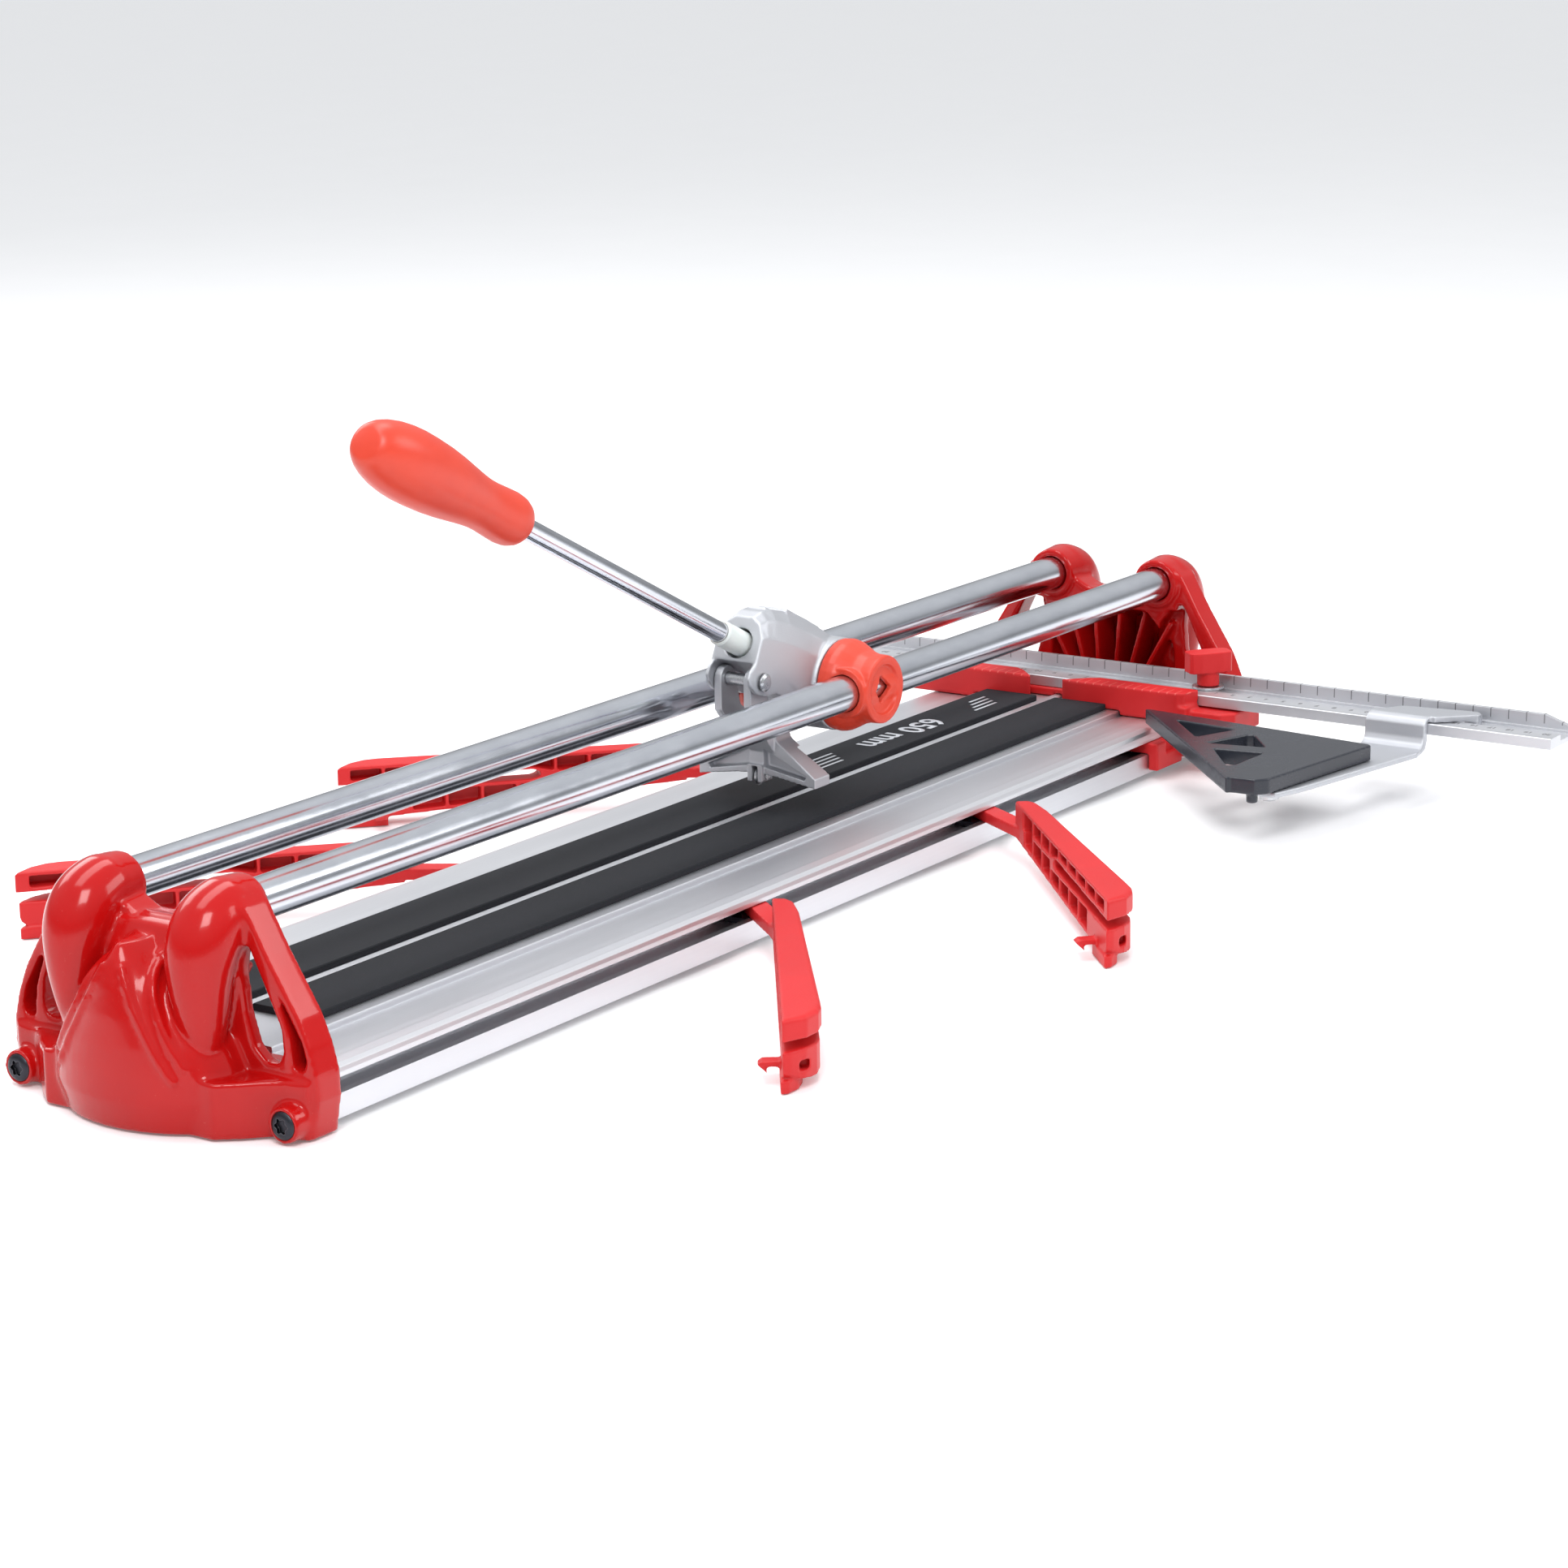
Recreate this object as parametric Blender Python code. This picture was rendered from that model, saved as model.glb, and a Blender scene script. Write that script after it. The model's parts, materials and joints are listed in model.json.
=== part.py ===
"""Rail tile cutter: aluminium base, two round rails, a lever carriage, ruler and four arms."""

import math

import bmesh
import bpy
from mathutils import Matrix, Vector

# All lengths below are in millimetres; MM turns them into metres.
# X runs along the rails (the front stand is at -X), Z is up, the bench is z = 0.
MM = 0.001
GAP = 0.3  # clearance between two pieces that rest on each other

# Base profile
BASE_HALF = 76.0
BASE_X = (-380.0, 377.0)
BASE_BOTTOM, PLATE_Z, DECK_Z = 4.0, 27.2, 29.8
DECK_HALF = 45.0
GROOVE_LOW, GROOVE_HIGH = 14.3, 20.9
CAVITY_IN, CAVITY_OUT, CAVITY_LOW, CAVITY_HIGH = 60.0, 72.0, 11.6, 23.6
RIB_HALF, RIB_TOP, RIB_SLOT_Z = 2.6, 31.3, 25.6
PAD_IN, PAD_OUT, PAD_TOP = 5.5, 37.5, 33.0
PAD_X = (-346.0, 312.6)

# Rails and stands
RAIL_R, RAIL_Y, RAIL_Z = 9.0, 32.85, 87.5
COLLAR_REACH = 2.5  # the collar stands this far inside the stand's flange
RAIL_DEPTH = 20.0  # the rail's end lies this far outside it
FLANGE_T, STAND_Z0 = 16.0, 0.8
SCREW_Y, SCREW_Z, BOSS_T = 71.5, 8.5, 26.0
FOOT_Y, FOOT_T, FOOT_R = 60.0, 9.0, 5.0

# Carriage, head and lever
PIVOT_X = 79.0
LEVER_SLOPE = math.atan(0.5)
EAR_R, EAR_HALF = 23.0, 20.0
TRUNNION_R, AXLE_R = 12.0, 5.0
FACE_S, FACE_HALF = 66.3, 13.0
ROD_R, ROD_START, ROD_END = 5.0, 40.0, 345.0
GRIP_START, GRIP_END = 256.0, 371.0
PIN_S, PIN_N, PIN_R = 57.7, -16.2, 3.0
PRONG_IN, PRONG_OUT = 6.5, 10.6
WHEEL_AT, WHEEL_R = (36.0, 47.5), 4.5

# Ruler and stops
BLOCK_X, BLOCK_TOP = 313.0, 43.5
RULER_X, RULER_Y = (328.0, 360.0), (-288.0, 140.0)
RULER_Z0, RULER_TOP, UPSTAND_TOP = 34.8, 40.5, 45.7
STUD_AT = (346.0, -82.0)
TRIANGLE_Z = (28.9, 37.0)
TRIANGLE_PIN = (208.0, -190.0)

# Side arms: hinge x, side of the base, angle from -X in degrees
ARMS = {
    "near_front": (-70.0, -1, 35.2),
    "near_rear": (133.0, -1, 43.4),
    "far_front": (-83.0, 1, 42.3),
    "far_rear": (150.0, 1, 43.3),
}
ARM_HINGE_Y, ARM_EYE_R, ARM_PIN_R = 67.3, 4.8, 2.0
ARM_TOP, ARM_LATERAL = 32.6, 8.4

for leftover in list(bpy.data.objects):
    bpy.data.objects.remove(leftover, do_unlink=True)


def material(name, colour, roughness, metallic=0.0):
    made = bpy.data.materials.new(name)
    made.use_nodes = True
    shader = made.node_tree.nodes["Principled BSDF"]
    shader.inputs["Base Color"].default_value = (*colour, 1.0)
    shader.inputs["Roughness"].default_value = roughness
    shader.inputs["Metallic"].default_value = metallic
    return made


CAST_RED = material("red_cast_paint", (0.55, 0.01, 0.012), 0.2)
PLASTIC_RED = material("red_plastic", (0.75, 0.03, 0.03), 0.4)
PLASTIC_ORANGE = material("orange_plastic", (0.85, 0.1, 0.04), 0.35)
ALUMINIUM = material("anodised_aluminium", (0.72, 0.73, 0.76), 0.35, 1.0)
CAST_GREY = material("cast_aluminium", (0.55, 0.56, 0.58), 0.5, 1.0)
CHROME = material("chromed_steel", (0.8, 0.81, 0.83), 0.12, 1.0)
STEEL = material("bright_steel", (0.6, 0.6, 0.62), 0.3, 1.0)
BLACK_STEEL = material("blackened_steel", (0.05, 0.05, 0.055), 0.4, 1.0)
RUBBER = material("black_rubber", (0.02, 0.021, 0.024), 0.85)
PLASTIC_BLACK = material("black_plastic", (0.045, 0.047, 0.055), 0.45)
SLEEVE_WHITE = material("pale_plastic", (0.7, 0.72, 0.7), 0.4)


def place(axis, a, b, h):
    """The 3-D point of profile point (a, b) at height h along the axis."""
    return {"X": (h, a, b), "Y": (a, h, b), "Z": (a, b, h)}[axis]


def solid(name, points, faces, look=None):
    mesh = bpy.data.meshes.new(name)
    mesh.from_pydata([Vector(p) * MM for p in points], [], faces)
    shape = bmesh.new()
    shape.from_mesh(mesh)
    bmesh.ops.remove_doubles(shape, verts=shape.verts, dist=1e-6)
    bmesh.ops.recalc_face_normals(shape, faces=shape.faces)
    if shape.calc_volume(signed=True) < 0:
        bmesh.ops.reverse_faces(shape, faces=shape.faces)
    shape.to_mesh(mesh)
    shape.free()
    made = bpy.data.objects.new(name, mesh)
    bpy.context.scene.collection.objects.link(made)
    if look:
        mesh.materials.append(look)
    return made


def loft(name, rings, look=None):
    """A closed skin through rings that have the same number of points."""
    count = len(rings[0])
    points = [p for ring in rings for p in ring]
    faces = [tuple(range(count)), tuple(range(len(points) - count, len(points)))]
    for level in range(len(rings) - 1):
        for k in range(count):
            a, b = level * count + k, level * count + (k + 1) % count
            faces.append((a, b, b + count, a + count))
    return solid(name, points, faces, look)


def prism(name, axis, outline, low, high, look=None):
    return loft(name, [[place(axis, a, b, h) for a, b in outline] for h in (low, high)], look)


def box(name, x, y, z, look=None):
    return prism(name, "Z", [(x[0], y[0]), (x[1], y[0]), (x[1], y[1]), (x[0], y[1])], *z, look)


def frame_of(direction):
    along = Vector(direction).normalized()
    across = Vector((0, 1, 0)) if abs(along.y) < 0.9 else Vector((0, 0, 1))
    side = along.cross(across).normalized()
    return along, side.cross(along).normalized(), side


def lathe(name, start, direction, profile, look=None, sides=32):
    """A turned piece: profile holds (distance along the direction, radius)."""
    along, u, v = frame_of(direction)
    start = Vector(start)
    rings = []
    for reach, radius in profile:
        turns = [2 * math.pi * (k + 0.5) / sides for k in range(sides)]
        rings.append([start + along * reach + (u * math.cos(t) + v * math.sin(t)) * radius for t in turns])
    return loft(name, rings, look)


def rod(name, start, end, radius, look=None, sides=32):
    length = (Vector(end) - Vector(start)).length
    return lathe(name, start, Vector(end) - Vector(start), [(0, radius), (length, radius)], look, sides)


def combine(body, operation, others):
    """Applies the Booleans at once, so that no cutter is left in the scene."""
    for other in others:
        step = body.modifiers.new("step", "BOOLEAN")
        step.operation, step.solver, step.object = operation, "EXACT", other
    bpy.context.view_layer.update()
    evaluated = body.evaluated_get(bpy.context.evaluated_depsgraph_get())
    mesh = bpy.data.meshes.new_from_object(evaluated)
    body.modifiers.clear()
    body.data = mesh
    for other in others:
        bpy.data.objects.remove(other, do_unlink=True)
    return body


def cut(body, *others):
    return combine(body, "DIFFERENCE", others)


def join(body, *others):
    return combine(body, "UNION", others)


def set_origin(made, point):
    made.data.transform(Matrix.Translation(-Vector(point) * MM))
    made.location = Vector(point) * MM
    return made


def both(outline):
    """A half outline with y >= 0 and its mirror image, as one loop."""
    return outline + [(-y, z) for y, z in reversed(outline)]


# ---- Base extrusion: open underneath, with a side groove and two screw ports a side.
half_profile = [
    (RIB_HALF + GAP, RIB_SLOT_Z),
    (RIB_HALF + GAP, DECK_Z),
    (DECK_HALF - 0.4, DECK_Z),
    (DECK_HALF, DECK_Z - 0.4),
    (DECK_HALF, PLATE_Z - 0.5),
    (DECK_HALF + 2.2, PLATE_Z - 0.5),
    (DECK_HALF + 2.6, PLATE_Z),
    (BASE_HALF - 6.0, PLATE_Z),
    (BASE_HALF - 2.0, PLATE_Z - 0.9),
    (BASE_HALF - 0.4, PLATE_Z - 2.4),
    (BASE_HALF, PLATE_Z - 4.2),
    (BASE_HALF, GROOVE_HIGH),
    (CAVITY_OUT, GROOVE_HIGH),
    (CAVITY_OUT, CAVITY_HIGH),
    (CAVITY_IN, CAVITY_HIGH),
    (CAVITY_IN, CAVITY_LOW),
    (CAVITY_OUT, CAVITY_LOW),
    (CAVITY_OUT, GROOVE_LOW),
    (BASE_HALF, GROOVE_LOW),
    (BASE_HALF, BASE_BOTTOM),
    (56.0, BASE_BOTTOM),
    (56.0, 23.8),
    (DECK_HALF - 1.0, 23.8),
    (DECK_HALF - 3.0, 26.0),
    (24.0, 26.0),
    (24.0, BASE_BOTTOM),
    (20.5, BASE_BOTTOM),
    (20.5, 26.0),
    (7.0, 26.0),
    (7.0, 22.4),
]
base = prism("base_extrusion", "X", both(half_profile), *BASE_X, ALUMINIUM)
cut(
    base,
    *[
        rod("port", (end, side * SCREW_Y, SCREW_Z), (end - sign * 30, side * SCREW_Y, SCREW_Z), 2.65, None, 16)
        for end, sign in ((BASE_X[0] - 1, -1), (BASE_X[1] + 1, 1))
        for side in (-1, 1)
    ],
)

# ---- Breaking rib and the two rubber pads that the tile lies on.
rib_outline = [
    (-RIB_HALF, RIB_SLOT_Z + GAP),
    (RIB_HALF, RIB_SLOT_Z + GAP),
    (RIB_HALF, RIB_TOP - 0.8),
    (RIB_HALF - 0.8, RIB_TOP),
    (-RIB_HALF + 0.8, RIB_TOP),
    (-RIB_HALF, RIB_TOP - 0.8),
]
prism("breaker_rib", "X", rib_outline, BASE_X[0] + 2, 333.0, ALUMINIUM)
for pad, side in (("pad_near", -1), ("pad_far", 1)):
    edge = 0.5
    pad_outline = [
        (side * PAD_IN, DECK_Z + 0.1),
        (side * PAD_OUT, DECK_Z + 0.1),
        (side * PAD_OUT, PAD_TOP - edge),
        (side * (PAD_OUT - edge), PAD_TOP),
        (side * (PAD_IN + edge), PAD_TOP),
        (side * PAD_IN, PAD_TOP - edge),
    ]
    prism(pad, "X", pad_outline, *PAD_X, RUBBER)


# ---- End stands: two horns that hold the rails, a bulged shield, struts and a flange.
def bent_tube(name, at, side_y):
    path = [
        (-COLLAR_REACH, RAIL_Z, 13.2),
        (5.0, RAIL_Z, 14.0),
        (12.0, 87.0, 14.7),
        (19.5, 83.2, 15.2),
        (24.5, 75.5, 15.0),
        (26.5, 65.0, 13.6),
        (26.5, 50.0, 11.4),
        (25.5, 36.0, 8.2),
        (23.0, 23.0, 4.0),
    ]
    rings = []
    for k, (t, z, radius) in enumerate(path):
        before, after = path[max(k - 1, 0)], path[min(k + 1, len(path) - 1)]
        run = Vector((after[0] - before[0], 0, after[1] - before[1])).normalized()
        if k == 0:
            run = Vector((1, 0, 0))
        if k == len(path) - 1:
            run = Vector((0, 0, -1))
        up = Vector((-run.z, 0, run.x))
        ring = []
        for step in range(24):
            turn = 2 * math.pi * step / 24
            spot = Vector((t, side_y * RAIL_Y, z)) + up * (radius * math.sin(turn))
            ring.append(at(spot.x, spot.y + radius * math.cos(turn), spot.z))
        rings.append(ring)
    return loft(name, rings)


def bulge(name, at, levels, back, root, power=0.6, steps=18):
    """Horizontal slices (z, half width, front) bulging forward from a flat back."""
    rings = []
    for z, half, front in levels:
        ring = [at(back, half, z), at(back, -half, z)]
        for k in range(steps + 1):
            y = -half + 2 * half * k / steps
            ring.append(at(root + (front - root) * (1 - (y / half) ** 2) ** power, y, z))
        rings.append(ring)
    return loft(name, rings)


def stand(name, face_x, outward):
    def at(t, y, z):
        return (face_x + outward * t, y, z)

    def plate(label, outline, t0, t1):
        return prism(label, "X", outline, face_x + outward * t0, face_x + outward * t1)

    flange = [
        (79.0, STAND_Z0),
        (81.0, 12.5),
        (82.0, 17.0),
        (81.5, 27.0),
        (78.5, 38.0),
        (73.5, 50.0),
        (58.5, 73.5),
        (48.0, 92.0),
        (43.0, 97.0),
        (31.0, 99.0),
        (19.0, 86.0),
        (10.0, 81.0),
    ]
    body = plate(name, both(flange), 0, FLANGE_T)
    body.data.materials.append(CAST_RED)
    front = [(STAND_Z0, 42.0, 46.0), (14.0, 47.0, 49.3), (26.0, 46.0, 49.7), (36.0, 41.0, 49.4)]
    front += [(48.0, 31.0, 48.0), (60.0, 20.0, 45.6), (70.0, 10.0, 42.0), (76.0, 4.0, 38.0)]
    join(body, bulge("shield", at, front, 8.0, 24.0))
    skirt = [(45.0, 37.0), (54.0, 30.0), (61.0, 23.0), (67.0, 19.0), (78.5, 17.8), (78.5, 3.0)]
    skirt = [at(t, y, 0)[:2] for y, t in both(skirt)]
    join(body, prism("skirt", "Z", skirt, STAND_Z0, 24.5))
    saddle = [(8, 22), (24, 22), (28, 45), (27.5, 62), (25, 71), (19, 80), (9, 82)]
    join(body, prism("saddle", "Y", [at(t, 0, z)[::2] for t, z in saddle], -33, 33))
    for side in (-1, 1):
        join(body, bent_tube("horn", at, side))
        spot = (side * SCREW_Y, SCREW_Z)
        join(body, rod("boss", at(2, *spot), at(BOSS_T, *spot), 7.6, None, 28))
    hollow = []
    for z, half, deep in ((27.0, 40.0, 37.0), (50.0, 38.0, 37.0), (62.0, 34.0, 27.0), (71.0, 26.0, 14.0)):
        knee = min(13.0, deep - 6)
        edge = [(-6, half), (knee, half), ((knee + deep) / 2, half - 7), (deep, half - 20)]
        slice_ = edge + [(t, -y) for t, y in reversed(edge)]
        hollow.append([at(t, y, z) for t, y in slice_])
    cut(body, loft("hollow", hollow))
    for side in (-1, 1):
        bay = [(34, 28), (62, 28), (64, 33), (63, 44), (57, 59), (49, 73), (40, 73), (34, 64)]
        window = [(45.8, 77), (49, 76.5), (57, 60), (64, 45), (65, 35), (62.5, 30), (56, 29.5), (50, 35), (46, 48), (44.6, 63)]
        pocket = [(59.5, 65.0), (74.5, 40.5), (76.5, 33.0), (75.0, 28.5), (70.0, 28.5), (68.3, 42.0)]
        cut(
            body,
            plate("window", [(side * y, z) for y, z in window], -8, 60),
            plate("bay", [(side * y, z) for y, z in bay], -7, 9.5),
            plate("pocket", [(side * y, z) for y, z in pocket], 4, 60),
            rod("bore", at(-30, side * RAIL_Y, RAIL_Z), at(RAIL_DEPTH + GAP, side * RAIL_Y, RAIL_Z), RAIL_R + 0.2),
            rod("hole", at(-2, side * SCREW_Y, SCREW_Z), at(40, side * SCREW_Y, SCREW_Z), 2.7, None, 16),
            rod("seat", at(BOSS_T - 2.6, side * SCREW_Y, SCREW_Z), at(40, side * SCREW_Y, SCREW_Z), 5.9, None, 28),
            rod("socket", at(FOOT_T, side * FOOT_Y, -2), at(FOOT_T, side * FOOT_Y, 3.8), FOOT_R + 0.2, None, 24),
        )
    return body


STAND_FACES = ((BASE_X[0] - GAP, -1), (BASE_X[1] + GAP, 1))
for label, (face_x, outward) in zip(("front", "rear"), STAND_FACES):
    stand(f"stand_{label}", face_x, outward)
    for where, side in (("near", -1), ("far", 1)):
        head_x = face_x + outward * (BOSS_T - 2.4)
        profile = [(0, 5.6), (1.6, 5.6), (2.6, 4.8), (3.0, 3.3)]
        screw = lathe(
            f"screw_{label}_{where}",
            (head_x, side * SCREW_Y, SCREW_Z),
            (outward, 0, 0),
            [(-BOSS_T - 20, 2.3), (-0.01, 2.3)] + profile,
            BLACK_STEEL,
            24,
        )
        recess = rod(
            "recess",
            (head_x + outward * 1.2, side * SCREW_Y, SCREW_Z),
            (head_x + outward * 4, side * SCREW_Y, SCREW_Z),
            1.9,
            None,
            6,
        )
        cut(screw, recess)
        foot_x = face_x + outward * FOOT_T
        rod(f"foot_{label}_{where}", (foot_x, side * FOOT_Y, 0), (foot_x, side * FOOT_Y, 3.5), FOOT_R, RUBBER, 24)

# ---- The two round rails.
RAIL_X = [face_x + outward * RAIL_DEPTH for face_x, outward in STAND_FACES]
for rail, side in (("rail_near", -1), ("rail_far", 1)):
    rod(rail, (RAIL_X[0], side * RAIL_Y, RAIL_Z), (RAIL_X[1], side * RAIL_Y, RAIL_Z), RAIL_R, CHROME)

# ---- Bushings that ride on the rails; their trunnions carry the head.
PIVOT = (PIVOT_X, 0.0, RAIL_Z)
for name, side in (("bushing_near", -1), ("bushing_far", 1)):
    profile = [
        (11.0, TRUNNION_R),
        (EAR_HALF + GAP, TRUNNION_R),
        (EAR_HALF + GAP + 0.01, 22.6),
        (24.5, 23.0),
        (27.5, 22.2),
        (31.0, 20.4),
        (35.0, 18.2),
        (39.5, 17.0),
        (43.0, 17.0),
        (45.6, 16.8),
        (46.0, 16.4),
        (46.01, 12.5),
        (43.6, 12.0),
    ]
    body = lathe(name, PIVOT, (0, side, 0), profile, PLASTIC_ORANGE)
    sleeve = [(PIVOT_X + reach, side * RAIL_Y, RAIL_Z) for reach in (-18, 18)]
    join(body, rod("sleeve", *sleeve, 12.4))
    bore = [(PIVOT_X + reach, side * RAIL_Y, RAIL_Z) for reach in (-40, 40)]
    size = 7.0
    diamond = [(PIVOT_X + a * size, RAIL_Z + b * size) for a, b in ((1, 0), (0, 1), (-1, 0), (0, -1))]
    cut(
        body,
        rod("bore", *bore, RAIL_R + 0.2),
        rod("socket", (PIVOT_X, side * 9, RAIL_Z), (PIVOT_X, side * 22.6, RAIL_Z), AXLE_R + 0.1),
        prism("eye", "Y", diamond, side * 33, side * 52),
    )
    set_origin(body, PIVOT)
set_origin(rod("cross_axle", (PIVOT_X, -22.3, RAIL_Z), (PIVOT_X, 22.3, RAIL_Z), AXLE_R, STEEL), PIVOT)


# ---- Lever head. s runs from the pivot along the lever, n square to it and up.
def lever_point(s, n, y=0.0):
    c, d = math.cos(LEVER_SLOPE), math.sin(LEVER_SLOPE)
    return (PIVOT_X - s * c + n * d, y, RAIL_Z + s * d + n * c)


def lever_ring(s, bottom, half, shoulder, top_half, top):
    """A section across the lever: flat underneath, arched on top."""
    loop = [(-half, bottom), (half, bottom), (half, shoulder)]
    loop += [((half + top_half) / 2 + 1.0, (shoulder + top) / 2 + 1.5), (top_half, top)]
    loop += [(-top_half, top), (-(half + top_half) / 2 - 1.0, (shoulder + top) / 2 + 1.5), (-half, shoulder)]
    return [lever_point(s, n, y) for y, n in loop]


sections = [
    (FACE_S, -9.3, FACE_HALF, 3.5, 5.0, 13.0),
    (62.0, -9.3, 13.3, 5.0, 6.0, 17.5),
    (56.0, -9.3, 13.8, 6.5, 7.0, 20.3),
    (44.0, -9.6, 15.5, 7.0, 8.0, 22.8),
    (27.0, -14.0, 17.6, 7.0, 9.0, 24.2),
    (14.0, -16.0, 19.2, 8.0, 12.0, 22.5),
    (0.0, -16.0, 19.8, 9.0, 15.0, 20.0),
]
head = loft("lever_head", [lever_ring(*s) for s in sections], CAST_GREY)
barrel = [(PIVOT_X, side * (EAR_HALF - 0.02), RAIL_Z) for side in (-1, 1)]
join(head, rod("barrel", *barrel, EAR_R, None, 40))
cheek = [(66.3, 3.5), (66.3, -10), (68.5, -14), (68.8, -18), (66.5, -21), (60, -23), (53, -22), (46, -18.5)]
cheek += [(34, -18), (16, -14), (16, 7.5), (44, 7.0), (62, 5.0)]
for side in (-1, 1):
    inner = [lever_point(s, n, side * 10.9) for s, n in cheek]
    outer = [lever_point(s, n, side * (14.1 + (PIN_S - s) * 0.1)) for s, n in cheek]
    join(head, loft("cheek", [inner, outer]))
pin_x, _, pin_z = lever_point(PIN_S, PIN_N)
cut(
    head,
    rod("rod_hole", lever_point(ROD_START - 0.4, 0), lever_point(90, 0), ROD_R + 0.2),
    rod("mouth", lever_point(58.0, 0), lever_point(90, 0), 7.6),
    rod("ear_bore", (PIVOT_X, -30, RAIL_Z), (PIVOT_X, 30, RAIL_Z), TRUNNION_R + 0.2),
    rod("pin_hole", (pin_x, -30, pin_z), (pin_x, 30, pin_z), PIN_R + 0.1),
)
set_origin(head, PIVOT)

lever = rod("lever_rod", lever_point(ROD_START, 0), lever_point(ROD_END, 0), ROD_R, CHROME)
set_origin(lever, PIVOT)
collar = rod("rod_collar", lever_point(58.4, 0), lever_point(84, 0), 6.3, SLEEVE_WHITE)
cut(collar, rod("inner", lever_point(50, 0), lever_point(90, 0), ROD_R + 0.15))
set_origin(collar, PIVOT)
grip_profile = [
    (GRIP_START, 7.6),
    (257.2, 9.6),
    (261.0, 11.6),
    (267.0, 12.4),
    (274.0, 12.0),
    (282.0, 11.6),
    (292.0, 12.2),
    (304.0, 13.8),
    (316.0, 15.3),
    (328.0, 16.3),
    (340.0, 16.6),
    (351.0, 15.9),
    (360.0, 14.2),
    (366.0, 11.8),
    (GRIP_END - 1, 8.0),
    (GRIP_END, 6.5),
]
grip = lathe("lever_grip", lever_point(0, 0), Vector(lever_point(1, 0)) - Vector(lever_point(0, 0)), grip_profile, PLASTIC_ORANGE, 40)
cut(grip, rod("bore", lever_point(240, 0), lever_point(ROD_END + 0.4, 0), ROD_R + 0.15))
set_origin(grip, PIVOT)

# ---- Pin, breaker foot, scoring wheel and its axle.
pin = lathe(
    "breaker_pin",
    (pin_x, 0, pin_z),
    (0, 1, 0),
    [(-16.4, 3.2), (-15.4, 4.4), (-14.7, 4.4), (-14.69, PIN_R), (14.69, PIN_R), (14.7, 4.4), (15.4, 4.4), (16.4, 3.2)],
    CHROME,
    24,
)
set_origin(pin, (pin_x, 0, pin_z))

BREAKER_X = (33.5, 46.5)
TIP_Y, TIP_Z = 34.2, (45.3, 50.0)
wings = [(TIP_Y, TIP_Z[0]), (TIP_Y, TIP_Z[1]), (12.0, 66.5), (10.6, 71.0), (-10.6, 71.0), (-12.0, 66.5)]
wings += [(-TIP_Y, TIP_Z[1]), (-TIP_Y, TIP_Z[0]), (-12.0, 48.6), (0.0, 49.6), (12.0, 48.6)]
foot = prism("breaker_foot", "X", wings, *BREAKER_X, CAST_GREY)
prong = []
for step in range(9):
    turn = math.pi * (step / 8)
    prong.append((pin_x + 6.4 * math.cos(turn), pin_z + 6.4 * math.sin(turn)))
prong += [(pin_x - 6.4, 84.0), (24.0, 72.0), (34.0, 64.0), (46.4, 64.0), (45.0, 74.0), (30.5, 84.0)]
for side in (-1, 1):
    join(foot, prism("prong", "Y", prong, *sorted((side * PRONG_IN, side * PRONG_OUT))))
neck = [(27.0, 74.5), (24.5, 71.5), (34.0, 60.0), (46.0, 60.0), (45.0, 74.5)]
join(foot, prism("neck", "Y", neck, -PRONG_OUT + 0.05, PRONG_OUT - 0.05))
join(foot, box("bracket", (31.5, 41.0), (-4.4, 4.4), (45.4, 54.0)))
for side in (-1, 1):
    taper = [(41.2, side * 5.0), (BREAKER_X[1] + 0.5, side * 33.0), (60.0, side * 33.0), (60.0, side * 5.0)]
    cut(foot, prism("taper", "Z", taper, 40.0, 62.5))
    recess = [(side * y, z) for y, z in ((4.0, 62.5), (4.5, 53.0), (28.0, 48.8), (28.6, 50.8))]
    cut(foot, prism("recess", "X", recess, 30.0, BREAKER_X[0] + 4.5))
cut(
    foot,
    box("slot", (30.0, 44.0), (-1.6, 1.6), (40.0, 53.2)),
    rod("hole", (WHEEL_AT[0], -9, WHEEL_AT[1]), (WHEEL_AT[0], 9, WHEEL_AT[1]), 1.3, None, 16),
    rod("eye", (pin_x, -20, pin_z), (pin_x, 20, pin_z), PIN_R + 0.1),
)
set_origin(foot, (pin_x, 0, pin_z))
wheel_at = (WHEEL_AT[0], 0, WHEEL_AT[1])
axle = rod("wheel_axle", (WHEEL_AT[0], -4.3, WHEEL_AT[1]), (WHEEL_AT[0], 4.3, WHEEL_AT[1]), 1.2, CHROME, 16)
set_origin(axle, wheel_at)
wheel = lathe(
    "scoring_wheel",
    wheel_at,
    (0, 1, 0),
    [(-1.1, 2.6), (-1.1, 3.2), (-0.15, WHEEL_R), (0.15, WHEEL_R), (1.1, 3.2), (1.1, 2.6)],
    STEEL,
    32,
)
cut(wheel, rod("hole", (WHEEL_AT[0], -9, WHEEL_AT[1]), (WHEEL_AT[0], 9, WHEEL_AT[1]), 1.3, None, 16))
set_origin(wheel, wheel_at)

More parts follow.
